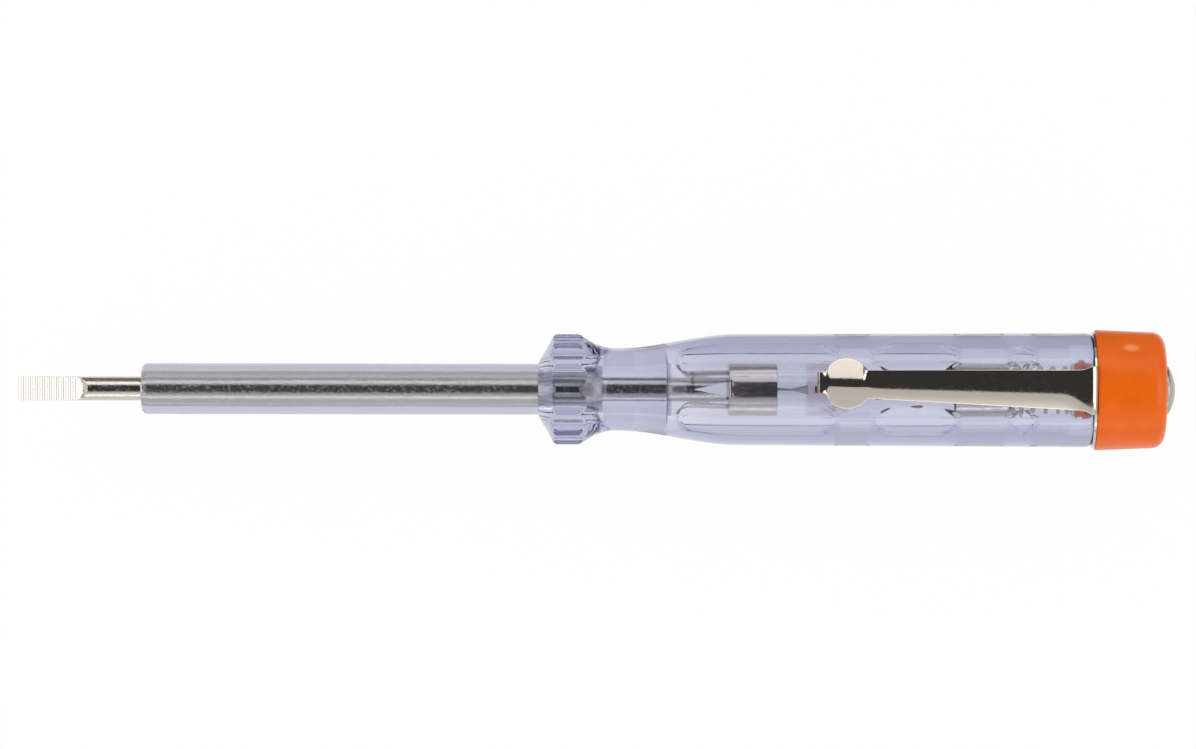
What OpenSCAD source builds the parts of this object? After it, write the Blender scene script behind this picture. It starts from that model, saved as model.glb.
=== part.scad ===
// Single-pole voltage tester pen, lying along X with its tip at -X and its pocket clip facing +Z.
// All lengths are in millimetres. The origin is under the middle of the pen, on the surface it lies on.

/* [Blade] */
// Diameter of the round steel stock
blade_d = 2.95; // [2.6:0.05:3.4]
// Thickness of the ground flats at the very tip
tip_t = 0.5; // [0.4:0.05:0.8]
// Thickness of the ground flats where the wheel lifts off
tip_root_t = 0.9; // [0.8:0.05:1.3]
// Length of the ground flats
tip_len = 7.5; // [5:0.5:10]
// Radius that the grinding wheel leaves behind the flats
runout_r = 1.05; // [0.8:0.05:1.5]
// Bare blade in front of the sleeve
blade_bare = 15.1; // [12:0.5:18]
// Blade that stands in the bore behind the neck
blade_reach = 7.5; // [5.5:0.1:9]
// Length of the fork slot in the blade's inner end
fork_len = 4.2; // [2:0.1:5]
// Width of the fork slot at its mouth
fork_w = 1.7; // [1:0.1:2]

/* [Sleeve] */
// Outer diameter of the insulating sleeve
sleeve_d = 6.25; // [5.5:0.05:6.8]
// Length of the sleeve in front of the guard
sleeve_len = 48.8; // [40:0.5:60]
// Radius of the sleeve's rounded nose
sleeve_nose_r = 0.9; // [0.5:0.1:1.2]
// Depth that the sleeve is pressed into the handle
sleeve_seat = 7.6; // [4:0.2:8]
// Depth of the shoulder where the sleeve enters the handle
sleeve_step = 0.2; // [0.18:0.02:0.4]

/* [Guard] */
// Diameter over the guard's crests
guard_d = 13.56; // [12.8:0.02:15]
// Diameter of the guard's front face
guard_face_d = 6.7; // [6.6:0.1:8]
// Length of the guard's front cone
guard_cone_len = 2.0; // [1.5:0.1:3]
// Length of the guard's round collar
guard_land_len = 3.1; // [2.5:0.1:4]
// Length of the hollow slope behind the guard
guard_slope_len = 4.5; // [3.5:0.1:6]
// Number of flutes round the guard
flute_n = 12; // [8:1:14]
// Radius of each flute
flute_r = 2.4; // [2:0.1:3]
// Depth of each flute
flute_depth = 0.55; // [0.3:0.05:0.8]

/* [Handle] */
// Diameter of the neck
neck_d = 10.08; // [9.2:0.02:11]
// Length of the flare from the neck to the grip
flare_len = 14.8; // [12:0.2:18]
// Diameter of the grip behind the flare
grip_front_d = 13.66; // [13.4:0.02:14]
// Diameter of the grip at its rear end
grip_rear_d = 14.0; // [13.8:0.02:14.3]
// Diameter of the bore for the lamp and its contacts
bore_d = 7.0; // [6.8:0.05:7.1]
// Solid stretch from the neck's waist to the front of the bore
bore_setback = 6.3; // [5:0.1:8]
// Chamfer at the handle's rear rim
grip_chamfer = 0.3; // [0.2:0.05:0.5]
// Distance from the axis to the flat floor of each panel
panel_floor = 6.4; // [6.2:0.05:6.6]
// The same distance at the front end of the front panels, on the flare
panel_floor_front = 5.7; // [5.5:0.05:5.9]
// Number of panel columns round the grip
panel_columns = 5; // [3:1:6]
// Length of each panel's slanted ends
panel_slant = 1.8; // [1:0.1:2]

/* [Lamp] */
// Outer diameter of the metal ferrule
ferrule_d = 5.8; // [5.7:0.05:6.2]
// Length of the ferrule
ferrule_len = 5.9; // [5:0.1:7]
// Sheet thickness of the ferrule
ferrule_wall = 0.25; // [0.15:0.05:0.3]
// Length of the lamp's glass, ferrule end to dome
glass_len = 16.5; // [15:0.1:20]
// Wall of the glass tube
glass_wall = 0.5; // [0.35:0.05:0.6]
// Length of the glass dome
dome_len = 2.0; // [1.5:0.1:2.5]
// Length of the tinted insulating sleeve over the glass
lamp_sleeve_len = 5.2; // [4:0.1:6]
// Wall of the tinted sleeve
lamp_sleeve_wall = 0.2; // [0.15:0.05:0.25]
// Diameter of the lamp's lead wires
lamp_wire_d = 0.4; // [0.3:0.05:0.5]

/* [Resistor] */
// Length of the resistor's body
resistor_len = 6.2; // [5.5:0.1:7]
// Diameter over the resistor's end bulges
resistor_d = 2.46; // [2.3:0.02:2.8]
// Bare lead between the lamp and the resistor
front_lead_len = 0.6; // [0.4:0.1:1.5]
// Bare lead between the resistor and the mouth of the contact cup
rear_lead_len = 3.8; // [2:0.1:5]
// Diameter of the resistor's leads
lead_d = 0.5; // [0.4:0.05:0.6]

/* [Contacts] */
// Outer diameter of the contact cup
cup_d = 6.6; // [6:0.05:6.7]
// Length of the contact cup
cup_len = 6.7; // [5:0.1:8]
// Sheet thickness of the contact cup
cup_wall = 0.3; // [0.2:0.05:0.4]
// Length of the fitted contact spring
spring_len = 7.4; // [6.5:0.1:10]
// Outer diameter of the contact spring
spring_d = 6.0; // [5.2:0.05:6.2]
// Diameter of the spring's wire
spring_wire_d = 0.5; // [0.4:0.05:0.6]
// Turns of the contact spring
spring_turns = 4; // [3:1:5]
// Thickness of the washer that the spring bears on
washer_t = 0.4; // [0.3:0.05:0.6]
// Diameter of the touch contact's domed head
touch_d = 5.94; // [5.4:0.02:6.4]
// Height of the head's straight edge
touch_edge = 0.5; // [0.3:0.05:0.8]
// Height of the head's dome
touch_dome = 0.87; // [0.6:0.01:1.1]
// Diameter of the touch contact's rivet shank
touch_shank_d = 3.0; // [2.4:0.1:3.4]

/* [Cap] */
// Height of the cap's front edge above the grip's rear end
cap_edge = 0.41; // [0.3:0.01:1]
// Taper of the cap's side, front edge to rear corner
cap_taper = 0.28; // [0.15:0.01:0.5]
// Length of the cap behind the clip's collar
cap_len = 8.55; // [7:0.1:12]
// Radius of the cap's rear corner
cap_corner_r = 1.6; // [1:0.1:2]
// Diameter over the plug's thread crests
plug_d = 7.4; // [7.35:0.01:7.5]
// Length of the threaded plug
plug_len = 2.7; // [2.6:0.1:4]
// Pitch of the plug's thread
thread_pitch = 1.25; // [1:0.05:1.3]
// Depth of the plug's thread
thread_depth = 0.35; // [0.2:0.05:0.4]

/* [Clip] */
// Thickness of the clip's collar
collar_t = 0.4; // [0.3:0.05:0.5]
// Height of the collar's rim above the grip's rear end
collar_edge = 0.15; // [0.05:0.01:0.25]
// Thickness of the clip's spring strip
strip_t = 0.45; // [0.35:0.05:0.5]
// Height of the clip's bend above the grip's rear end
bend_rise = 0.88; // [0.8:0.01:1.3]
// Width of the flared root at the bend
root_w = 5.85; // [5.5:0.05:6.4]
// Width of the arm behind the flare
arm_root_w = 4.95; // [4.4:0.05:5.4]
// Width of the arm where it meets the disc
arm_neck_w = 3.34; // [2.8:0.02:3.8]
// Distance from the bend to the centre of the disc
arm_len = 30.4; // [27:0.1:33]
// Diameter of the round disc
disc_d = 6.05; // [5.4:0.05:6.6]
// Width of the tab at the clip's free end
tab_w = 2.56; // [2:0.02:3]
// Length of the tab past the disc's edge
tab_len = 0.6; // [0.4:0.05:1]
// Upward curl of the tab
tab_rise = 0.55; // [0.3:0.05:0.8]
// Sideways lean of the arm over its length
arm_lean = 0.78; // [0:0.02:0.9]

/* [Hidden] */

// Gap at each pressed or seated fit, and at each moving one
fit = 0.02;
run = 0.08;
// Overrun of every cut past the face that it opens
over = 0.5;
// Sides of the round pieces, and steps of the curved outlines
round_n = 96;
curve_steps = 6;

blade_r = blade_d / 2;
sleeve_r = sleeve_d / 2;
guard_r = guard_d / 2;
neck_r = neck_d / 2;
bore_r = bore_d / 2;
plug_r = plug_d / 2;
grip_r = grip_rear_d / 2;
cap_r = grip_r + cap_edge;
axis_h = max(cap_r, guard_r);
seat_r = sleeve_r - sleeve_step;
collar_r = grip_r + collar_edge;

// Places along the pen, measured from the tip
at_sleeve = blade_bare;
at_guard = at_sleeve + sleeve_len;
at_land = at_guard + guard_cone_len;
at_slope = at_land + guard_land_len;
at_neck = at_slope + guard_slope_len;
at_grip = at_neck + flare_len;
at_bore = at_neck + bore_setback;
at_lamp = at_bore + blade_reach;
at_glass = at_lamp + ferrule_wall;
at_glass_end = at_glass + glass_len;
at_resistor = at_glass_end + lamp_wire_d + front_lead_len;
at_resistor_end = at_resistor + resistor_len;
at_cup = at_resistor_end + rear_lead_len;
at_cup_end = at_cup + cup_len;
at_washer = at_cup_end + spring_len;
at_plug = at_washer + washer_t;
at_cap = at_plug + plug_len;
at_cap_end = at_cap + cap_len;
at_collar = at_cap - fit - collar_t;
at_handle_end = at_collar - fit;
total_len = at_cap_end + touch_edge + touch_dome;

// Stands the pen's tip-based places in the pen's own frame.
module place() translate([-total_len / 2, 0, axis_h]) children();

// A turned piece: points are pairs of radius and place along the pen.
module turned(points) rotate([0, 90, 0]) rotate_extrude($fn = round_n) polygon(points);

// A round rod or hole from one place along the pen to another.
module rod(r, from, to) translate([from, 0, 0]) rotate([0, 90, 0]) cylinder(r = r, h = to - from, $fn = round_n);

// A ring or tube between two radii.
module ring(r_in, r_out, from, to) turned([[r_in, from], [r_out, from], [r_out, to], [r_in, to]]);

// Handle: one clear moulding with a fluted guard, a waisted neck and a grip with flat panels.
panel_spans_share = [[0.02, 0.4], [0.479, 0.685], [0.81, 0.857]];
panel_blunt_share = 0.45;
socket_r = plug_r + run;
at_socket = at_washer - run;
grip_len = at_handle_end - at_bore;
panel_w = 2 * sqrt(pow(grip_r, 2) - pow(panel_floor_front, 2));
handle_outline = concat(
    [[0, at_guard], [guard_face_d / 2, at_guard], [guard_r, at_land]],
    [for (i = [0:curve_steps]) let (t = i / curve_steps)
        [neck_r + (guard_r - neck_r) * pow(1 - t, 2), at_slope + t * guard_slope_len]],
    [for (i = [1:curve_steps + 2]) let (t = i / (curve_steps + 2))
        [neck_r + (grip_front_d / 2 - neck_r) * t * t * (3 - 2 * t), at_neck + t * flare_len]],
    [[grip_r, at_handle_end - grip_chamfer], [grip_r - grip_chamfer, at_handle_end], [0, at_handle_end]]);

// Cutter for one flat panel with slanted ends, its floor facing +Z.
module panel_cutter(from, to, floor_from, floor_to) {
    top = guard_r + over;
    blunt = panel_w * panel_blunt_share / 2;
    wide = panel_w / 2;
    intersection() {
        linear_extrude(top) polygon([
            [from, -blunt], [from + panel_slant, -wide], [to - panel_slant, -wide], [to, -blunt],
            [to, blunt], [to - panel_slant, wide], [from + panel_slant, wide], [from, blunt]]);
        rotate([90, 0, 0]) linear_extrude(2 * panel_w, center = true)
            polygon([[from, floor_from], [to, floor_to], [to, top], [from, top]]);
    }
}

// The last, short panel is only as long as its own two slants.
module panel_column() for (i = [0:len(panel_spans_share) - 1]) {
    span = panel_spans_share[i];
    from = at_bore + grip_len * span[0];
    to = at_bore + grip_len * span[1];
    mid = (from + to) / 2;
    half = max((to - from) / 2, panel_slant + fit);
    panel_cutter(i == 0 ? from : mid - half, i == 0 ? to : mid + half,
        i == 0 ? panel_floor_front : panel_floor, panel_floor);
}

module handle() color("lavender", 0.5) place() difference() {
    turned(handle_outline);
    for (i = [0:flute_n - 1]) rotate([(i + 0.5) * 360 / flute_n, 0, 0])
        translate([0, 0, guard_r - flute_depth + flute_r]) rod(flute_r, at_guard - over, at_neck);
    for (i = [0:panel_columns - 1]) rotate([(i + 0.5) * 360 / panel_columns, 0, 0]) panel_column();
    rod(seat_r + fit, at_guard - over, at_guard + sleeve_seat);
    rod(blade_r + fit, at_guard, at_bore + over);
    rod(bore_r, at_bore, at_handle_end + over);
    rod(socket_r, at_socket, at_handle_end + over);
}

// Blade: round steel with a ground flat tip and a forked inner end that bears on the lamp.
module tip_cutter() {
    lift = tip_root_t / 2 + runout_r;
    rotate([90, 0, 0]) linear_extrude(blade_d + 2 * over, center = true) polygon([
        [-over, tip_t / 2], [0, tip_t / 2], [tip_len, tip_root_t / 2], [tip_len, lift], [-over, lift]]);
    translate([tip_len, 0, lift]) rotate([90, 0, 0])
        cylinder(r = runout_r, h = blade_d + 2 * over, center = true, $fn = round_n);
}

module blade() color("silver") place() difference() {
    rod(blade_r, 0, at_lamp);
    for (side = [0, 1]) mirror([0, 0, side]) tip_cutter();
    translate([at_lamp - fork_len, 0, -blade_r - over]) linear_extrude(blade_d + 2 * over)
        polygon([[0, 0], [fork_len + over, -fork_w / 2], [fork_len + over, fork_w / 2]]);
}

// Sleeve: clear insulating tube with a rounded nose, pressed over the blade, its shouldered end in the guard.
module blade_sleeve() color("lavender", 0.6) place() turned(concat(
    [[blade_r + fit, at_sleeve]],
    [for (i = [0:curve_steps]) let (a = 90 * i / curve_steps)
        [sleeve_r - sleeve_nose_r * (1 - sin(a)), at_sleeve + sleeve_nose_r * (1 - cos(a))]],
    [[sleeve_r, at_guard - fit], [seat_r, at_guard - fit], [seat_r, at_guard + sleeve_seat - fit],
        [blade_r + fit, at_guard + sleeve_seat - fit]]));

// Lamp: a glow lamp whose glass sits in a drawn metal ferrule.
ferrule_r = ferrule_d / 2;
glass_r = ferrule_r - ferrule_wall - fit;
wire_r = lamp_wire_d / 2;
glass_in_r = glass_r - glass_wall;
glass_in_end = at_glass_end - glass_wall;
module lamp_ferrule() color("gainsboro") place() turned([
    [0, at_lamp], [ferrule_r - ferrule_wall, at_lamp], [ferrule_r, at_lamp + ferrule_wall],
    [ferrule_r, at_lamp + ferrule_len], [ferrule_r - ferrule_wall, at_lamp + ferrule_len],
    [ferrule_r - ferrule_wall, at_glass], [0, at_glass]]);

// Dome outline from the apex's wire hole out to the tube, at a radius and an apex place.
function dome(r, apex, depth) = [for (i = [0:curve_steps]) let (a = 90 * i / curve_steps)
    [max(r * sin(a), wire_r + fit), apex - depth * (1 - cos(a))]];

module lamp_glass() color("lightcyan", 0.4) place() turned(concat(
    [[wire_r + fit, at_glass], [glass_r, at_glass]],
    [for (i = [curve_steps:-1:0]) dome(glass_r, at_glass_end, dome_len)[i]],
    dome(glass_in_r, glass_in_end, dome_len - glass_wall),
    [[glass_in_r, at_glass + glass_wall], [wire_r + fit, at_glass + glass_wall]]));

// Front electrode: a lead wire that swells into a small pointed tip behind the ferrule.
point_from = at_lamp + ferrule_len + 5 * lamp_wire_d;
point_to = point_from + 4.5 * lamp_wire_d;
point_r = 3 * wire_r;
module lamp_front_electrode() color("dimgray") place() turned([
    [0, at_glass], [wire_r, at_glass], [wire_r, point_from], [point_r, point_to - wire_r],
    [point_r, point_to], [0, point_to]]);

// Rear electrode: a rod on the lamp's other lead wire, which leaves through the dome.
seal_len = 2.5 * lamp_wire_d;
seal_end = glass_in_end - lamp_wire_d;
rear_rod_r = 2.2 * wire_r;
rear_rod_from = point_to + 2 * lamp_wire_d;
module lamp_rear_electrode() color("rosybrown") place() turned([
    [0, rear_rod_from], [rear_rod_r, rear_rod_from], [rear_rod_r, seal_end - seal_len - fit],
    [wire_r, seal_end - seal_len - fit], [wire_r, at_glass_end + lamp_wire_d],
    [0, at_glass_end + lamp_wire_d]]);

// Seal: the copper-red bead where the lead wire passes through the glass.
module lamp_seal() color("indianred") place()
    ring(wire_r + fit, 2.2 * lamp_wire_d, seal_end - seal_len, seal_end);

// Sleeve that steadies the glass in the bore.
module lamp_sleeve() color("pink", 0.5) place()
    ring(glass_r + fit, glass_r + fit + lamp_sleeve_wall,
        at_glass_end - dome_len - lamp_sleeve_len, at_glass_end - dome_len);

// Resistor: a ceramic core with pressed end caps and leads, all under a lacquer coat.
lead_r = lead_d / 2;
coat_t = 0.15 * resistor_d / 2;
end_cap_r = resistor_d / 2 - coat_t;
cap_wall = 0.16 * resistor_d / 2;
res_cap_len = 0.2 * resistor_len;
core_r = end_cap_r - cap_wall - fit;
module resistor_front_lead() color("silver") place()
    rod(lead_r, at_glass_end + lamp_wire_d, at_resistor + coat_t);

module resistor_core() color("ivory") place()
    rod(core_r, at_resistor + coat_t + cap_wall, at_resistor_end - coat_t - cap_wall);

// One pressed cap, with its closed end at the first place.
module resistor_cap(from, to) {
    inner = from + cap_wall * sign(to - from);
    turned([[0, from], [end_cap_r, from], [end_cap_r, to], [core_r + fit, to], [core_r + fit, inner], [0, inner]]);
}

module resistor_front_cap() color("silver") place()
    resistor_cap(at_resistor + coat_t, at_resistor + coat_t + res_cap_len);

module resistor_rear_cap() color("silver") place()
    resistor_cap(at_resistor_end - coat_t, at_resistor_end - coat_t - res_cap_len);

// Lacquer: bulged over the two caps and waisted between them.
module resistor_coating() {
    bulge = resistor_d / 2;
    waist = core_r + fit + coat_t;
    a = at_resistor;
    z = at_resistor_end;
    step = coat_t + res_cap_len;
    color("firebrick") place() turned([
        [lead_r + fit, a], [bulge - coat_t, a], [bulge, a + coat_t], [bulge, a + step], [waist, a + step + coat_t],
        [waist, z - step - coat_t], [bulge, z - step], [bulge, z - coat_t], [bulge - coat_t, z],
        [lead_r + fit, z], [lead_r + fit, z - coat_t + fit], [end_cap_r + fit, z - coat_t + fit],
        [end_cap_r + fit, z - step - fit], [core_r + fit, z - step - fit], [core_r + fit, a + step + fit],
        [end_cap_r + fit, a + step + fit], [end_cap_r + fit, a + coat_t - fit], [lead_r + fit, a + coat_t - fit]]);
}

module resistor_rear_lead() color("silver") place()
    rod(lead_r, at_resistor_end - coat_t, at_cup_end - cup_wall);

// Contact cup: drawn metal cup, closed behind, that carries the current from the resistor to the spring.
cup_r = cup_d / 2;
module contact_cup() color("gainsboro") place() turned([
    [cup_r - cup_wall, at_cup], [cup_r - cup_wall / 2, at_cup], [cup_r, at_cup + cup_wall], [cup_r, at_cup_end],
    [0, at_cup_end], [0, at_cup_end - cup_wall], [cup_r - cup_wall, at_cup_end - cup_wall]]);

// Contact spring: one unbroken coil, its two ends turned square to the cup and the washer.
spring_r = (spring_d - spring_wire_d) / 2;
curl_rings = 8;
wire_sides = 6;
corner_steps = 4;
corner_r = spring_wire_d;
coil_rise = (spring_len - 2 * (spring_wire_d + corner_r)) / spring_turns;
corner_turn = corner_r / spring_r * 180 / PI;
// Each entry is a place along the spring, an angle round it, and how far the wire has turned from straight.
spring_path = concat(
    [[0, 0, 0]],
    [for (i = [0:corner_steps - 1]) let (a = 90 * i / corner_steps)
        [spring_wire_d + corner_r * sin(a), corner_turn * (1 - cos(a)), a]],
    [for (i = [0:spring_turns * curl_rings])
        [spring_wire_d + corner_r + coil_rise * i / curl_rings, corner_turn + 360 * i / curl_rings, 90]],
    [for (i = [corner_steps - 1:-1:0]) let (a = 90 * i / corner_steps)
        [spring_len - spring_wire_d - corner_r * sin(a),
            2 * corner_turn + 360 * spring_turns - corner_turn * (1 - cos(a)), a]],
    [[spring_len, 2 * corner_turn + 360 * spring_turns, 0]]);
coil_slope = atan(coil_rise / (2 * PI * spring_r));

function spring_centre(p) = [p[0], spring_r * sin(p[1]), spring_r * cos(p[1])];

// Ring of points round the wire: one way is outwards from the coil's axis, the other square to both.
function spring_ring(p) = let (
        bend = min(p[2], 90 - coil_slope),
        out = [0, sin(p[1]), cos(p[1])],
        along = [cos(bend), sin(bend) * cos(p[1]), -sin(bend) * sin(p[1])],
        side = cross(along, out))
    [for (k = [0:wire_sides - 1]) let (a = 360 * k / wire_sides)
        spring_centre(p) + spring_wire_d / 2 * (cos(a) * out + sin(a) * side)];

// Triangles between rings of so many sides, without the two ends.
function skin_faces(rings, sides) = [for (i = [0:rings - 2], k = [0:sides - 1], half = [0, 1])
    let (a = i * sides, b = a + sides, n = (k + 1) % sides)
    half == 0 ? [a + k, a + n, b + n] : [a + k, b + n, b + k]];

// Triangles that close a round ring's first and last end.
function round_ends(rings, sides) = [for (k = [1:sides - 2], last = [0, 1])
    let (e = (rings - 1) * sides) last == 0 ? [0, k + 1, k] : [e, e + k, e + k + 1]];

spring_gap = min([for (i = [0:len(spring_path) - 1], j = [0:len(spring_path) - 1])
    if (j >= i + curl_rings - 2) norm(spring_centre(spring_path[i]) - spring_centre(spring_path[j]))])
    - spring_wire_d;
echo(least_gap_between_spring_turns = spring_gap);

module contact_spring() color("silver") place() translate([at_cup_end, 0, 0]) polyhedron(
    [for (p = spring_path) each spring_ring(p)],
    concat(skin_faces(len(spring_path), wire_sides), round_ends(len(spring_path), wire_sides)));

// Washer under the touch contact's riveted tail, which the spring bears on.
tail_r = touch_shank_d / 2 * 1.25;
module contact_washer() color("gainsboro") place()
    ring(touch_shank_d / 2 + fit, bore_r - 3 * run, at_washer, at_plug);

// Touch contact: a domed rivet through the cap, for the thumb.
dome_r = (pow(touch_d / 2, 2) + pow(touch_dome, 2)) / (2 * touch_dome);
dome_half = asin(touch_d / 2 / dome_r);
module touch_contact() color("silver") place() turned(concat(
    [[0, at_washer - washer_t], [tail_r - washer_t / 2, at_washer - washer_t], [tail_r, at_washer - washer_t / 2],
        [tail_r, at_washer], [touch_shank_d / 2, at_washer], [touch_shank_d / 2, at_cap_end],
        [touch_d / 2, at_cap_end]],
    [for (i = [curve_steps:-1:0]) let (a = dome_half * i / curve_steps)
        [dome_r * sin(a), total_len - dome_r * (1 - cos(a))]]));

// End cap: orange moulding with a threaded plug that clamps the clip's collar.
cap_lip = 0.15 * thread_pitch;
crest = 0.16 * thread_pitch;
core_plug_r = plug_r - thread_depth;
thread_turns = floor(plug_len / thread_pitch);
cap_corner_at = at_cap_end - cap_corner_r;
module end_cap() color("darkorange") place() turned(concat(
    [[touch_shank_d / 2 + fit, at_plug], [core_plug_r, at_plug]],
    [for (i = [0:thread_turns - 1], p = [[0, 0.1], [thread_depth, 0.3], [thread_depth, 0.5], [0, 0.7]])
        [core_plug_r + p[0], at_plug + (i + p[1]) * thread_pitch]],
    [[core_plug_r, at_cap], [cap_r - cap_lip, at_cap], [cap_r, at_cap + cap_lip]],
    [for (i = [0:curve_steps]) let (a = 90 * i / curve_steps)
        [cap_r - cap_taper - cap_corner_r * (1 - cos(a)), cap_corner_at + cap_corner_r * sin(a)]],
    [[touch_shank_d / 2 + fit, at_cap_end]]));

// Clip collar: flat washer clamped between handle and cap, with the tab that the arm springs from.
collar_hole_r = socket_r + run;
tab_top = grip_r + bend_rise - strip_t / 2 - fit;
module clip_collar() color("gainsboro") place() difference() {
    union() {
        rod(collar_r, at_collar, at_collar + collar_t);
        translate([at_collar, -root_w / 2, 0]) cube([collar_t, root_w, tab_top]);
    }
    rod(collar_hole_r, at_collar - over, at_collar + collar_t + over);
}

// Clip arm: sprung strip that starts round the bend, tapers to a neck and ends in a dished disc and a tab.
bend_at = at_collar + collar_t / 2;
disc_r = disc_d / 2;
arch_r = grip_r + strip_t;
flare_out = (root_w - arm_root_w) / 2;
neck_turn = asin(arm_neck_w / disc_d);
tab_turn = asin(tab_w / disc_d);
disc_from = arm_len - disc_r * cos(neck_turn);
tab_from = arm_len + disc_r * cos(tab_turn);
tab_to = arm_len + disc_r + tab_len;
strip_cross = 6;

// Half width of the arm at a distance from the bend, with a short flare at the root.
function arm_half(u) = let (t = u / disc_from, f = max(0, 1 - u / root_w * 4))
    (arm_root_w + (arm_neck_w - arm_root_w) * t) / 2 + flare_out * f * f;

// Stations: distance from the bend, half width, and share of the full thickness.
arm_stations = concat(
    [for (a = [75, 50, 25]) [-strip_t / 2 * sin(a), root_w / 2, cos(a)]],
    [for (t = [0, 0.25, 0.5, 1]) [t * root_w / 4, arm_half(t * root_w / 4), 1]],
    [for (i = [1:7]) let (u = root_w / 4 + (disc_from - root_w / 4) * i / 8) [u, arm_half(u), 1]],
    [for (i = [0:12]) let (a = neck_turn + (180 - neck_turn - tab_turn) * i / 12)
        [arm_len - disc_r * cos(a), disc_r * sin(a), 1]],
    [[tab_to, tab_w / 2, 1]]);

// Radius of the grip under the strip.
function grip_under(u) = grip_r + (grip_front_d / 2 - grip_r) * max(u, 0) / (bend_at - at_grip);

// Height of the strip's middle above the axis: high at the bend, close to the grip at the disc, curled up at the tab.
function arm_height(u) = let (t = min(max(u / arm_len, 0), 1), s = t * t * (3 - 2 * t),
        c = max(0, (u - arm_len) / (tab_to - arm_len)), rest = strip_t / 2 + run)
    grip_under(u) + rest + (bend_rise - rest) * (1 - s) + tab_rise * c * c;

// Drop of the strip's edges, which follow the round grip more and more towards the disc.
function arm_drop(u, y) = let (t = min(max(u / root_w, 0), 1))
    t * (arch_r - sqrt(arch_r * arch_r - y * y));

function arm_ring(s) = let (mid = arm_lean * max(s[0], 0) / arm_len, n = strip_cross)
    concat(
        [for (k = [0:n]) let (y = mid + s[1] * (2 * k / n - 1))
            [bend_at - s[0], y, arm_height(s[0]) - arm_drop(s[0], y) + s[2] * strip_t / 2]],
        [for (k = [n:-1:0]) let (y = mid + s[1] * (2 * k / n - 1))
            [bend_at - s[0], y, arm_height(s[0]) - arm_drop(s[0], y) - s[2] * strip_t / 2]]);

// Triangles that close the strip's two ends, each between its upper and its lower edge.
function strip_ends(rings, cross) = [for (k = [0:cross - 1], part = [0:3])
    let (top = 2 * cross + 1 - k, e = (rings - 1) * (2 * cross + 2))
    part == 0 ? [k, top - 1, k + 1] : part == 1 ? [k, top, top - 1]
        : part == 2 ? [e + k, e + k + 1, e + top - 1] : [e + k, e + top - 1, e + top]];

module clip_arm() color("silver") place() polyhedron(
    [for (s = arm_stations) each arm_ring(s)],
    concat(skin_faces(len(arm_stations), 2 * strip_cross + 2), strip_ends(len(arm_stations), strip_cross)));

handle();
blade();
blade_sleeve();
lamp_ferrule();
lamp_glass();
lamp_front_electrode();
lamp_rear_electrode();
lamp_seal();
lamp_sleeve();
resistor_front_lead();
resistor_core();
resistor_front_cap();
resistor_rear_cap();
resistor_coating();
resistor_rear_lead();
contact_cup();
contact_spring();
contact_washer();
touch_contact();
end_cap();
clip_collar();
clip_arm();
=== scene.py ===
import math

import bmesh
import bpy
from mathutils import Matrix, Vector


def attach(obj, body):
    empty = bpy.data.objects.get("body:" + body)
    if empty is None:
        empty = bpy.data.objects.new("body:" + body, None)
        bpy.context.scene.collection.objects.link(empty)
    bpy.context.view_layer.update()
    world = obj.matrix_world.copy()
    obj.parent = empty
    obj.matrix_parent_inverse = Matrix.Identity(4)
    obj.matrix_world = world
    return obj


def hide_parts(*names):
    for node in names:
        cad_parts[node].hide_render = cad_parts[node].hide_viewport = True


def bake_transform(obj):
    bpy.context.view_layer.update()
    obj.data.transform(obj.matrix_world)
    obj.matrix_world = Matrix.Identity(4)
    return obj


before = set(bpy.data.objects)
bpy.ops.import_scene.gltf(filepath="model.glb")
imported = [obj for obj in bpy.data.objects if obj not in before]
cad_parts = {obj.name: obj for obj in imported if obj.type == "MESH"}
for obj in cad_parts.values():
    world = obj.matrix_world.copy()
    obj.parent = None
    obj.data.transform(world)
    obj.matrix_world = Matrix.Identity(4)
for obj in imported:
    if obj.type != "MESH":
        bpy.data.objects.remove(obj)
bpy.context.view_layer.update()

# Blade: round steel stock, forged and ground to a flat tip, nickel plated.
# The grinding wheel leaves cross lines on the flats and a rounded run-out behind them.
# The inner end is slotted to a fork that bears on the lamp.
MM = 0.001
PEN_LEN = 142.17
TIP_X = -PEN_LEN / 2
AXIS_Z = 7.41
blade_r = 1.475
flats_len, ground_to = 7.25, 8.6
tip_half, root_half = 0.25, 0.45
wheel_r, wheel_start, wheel_bow = 1.9, 0.43, 0.2
line_pitch, line_depth = 0.29, 0.044
crest_share, foot_share = 0.11, 0.48
fork_from, blade_end, fork_half = 83.1, 87.3, 0.85
prong_root, prong_chamfer = 0.3, 0.15


def spot(along, across=0.0, up=0.0):
    """A point given in mm from the tip, across the pen and above its axis."""
    return Vector(((along + TIP_X) * MM, across * MM, (up + AXIS_Z) * MM))


def mm_of(vert):
    """A vertex as mm from the tip, across the pen and above its axis."""
    return vert.co.x / MM - TIP_X, vert.co.y / MM, vert.co.z / MM - AXIS_Z


def turned(outline, steps=96, ring=False):
    """A piece turned about the pen's axis from places and radii in mm; a ring's outline has its bore too."""
    bm = bmesh.new()
    line = [bm.verts.new(spot(d, 0, r)) for d, r in outline]
    pairs = list(zip(line, line[1:])) + ([(line[-1], line[0])] if ring else [])
    edges = [bm.edges.new(p) for p in pairs]
    bmesh.ops.spin(bm, geom=line + edges, cent=spot(0), axis=(1, 0, 0), dvec=(0, 0, 0),
                   angle=2 * math.pi, steps=steps, use_merge=True, use_duplicate=False)
    bmesh.ops.remove_doubles(bm, verts=bm.verts[:], dist=1e-7)
    bmesh.ops.recalc_face_normals(bm, faces=bm.faces[:])
    return bm


def copy_into(bm, other):
    """Adds a copy of another mesh to this one."""
    spare = bpy.data.meshes.new("spare")
    other.to_mesh(spare)
    bm.from_mesh(spare)
    bpy.data.meshes.remove(spare)


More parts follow.
